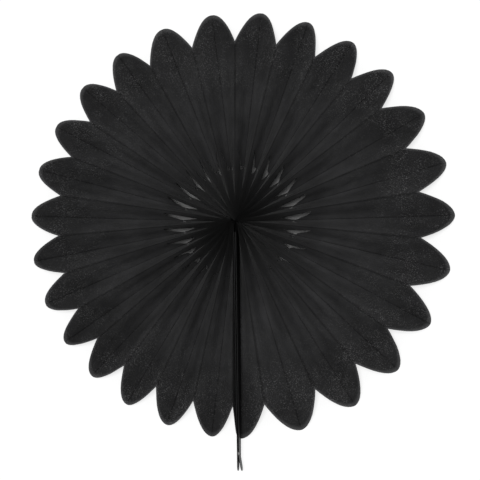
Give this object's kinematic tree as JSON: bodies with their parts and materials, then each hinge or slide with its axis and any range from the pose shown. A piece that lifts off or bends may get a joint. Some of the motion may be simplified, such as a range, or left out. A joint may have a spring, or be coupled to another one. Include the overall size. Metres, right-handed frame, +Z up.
{
  "type": "paper fan rosette",
  "caption": "Round accordion-folded tissue paper fan rosette with scalloped rim, die-cut windows near the hub and two end cards with punched hanging tabs.",
  "frame": {"origin": "under the middle of the whole fan's box, on the floor that the fan lies on", "axes": "+Z up out of the face of the fan, along the axis of the rosette; -Y from the hub along the seam to the hanging tabs; +X to the right as the picture shows it"},
  "size_m": [0.4068, 0.4354, 0.0413],
  "materials": {
    "tissue": "matte",
    "card": "matte",
    "tape": "matte"
  },
  "bodies": {
    "root": {"pleated_tissue": "tissue", "end_card_right": "card", "end_card_left": "card", "seam_tape": "tape"}
  },
  "joints": []
}
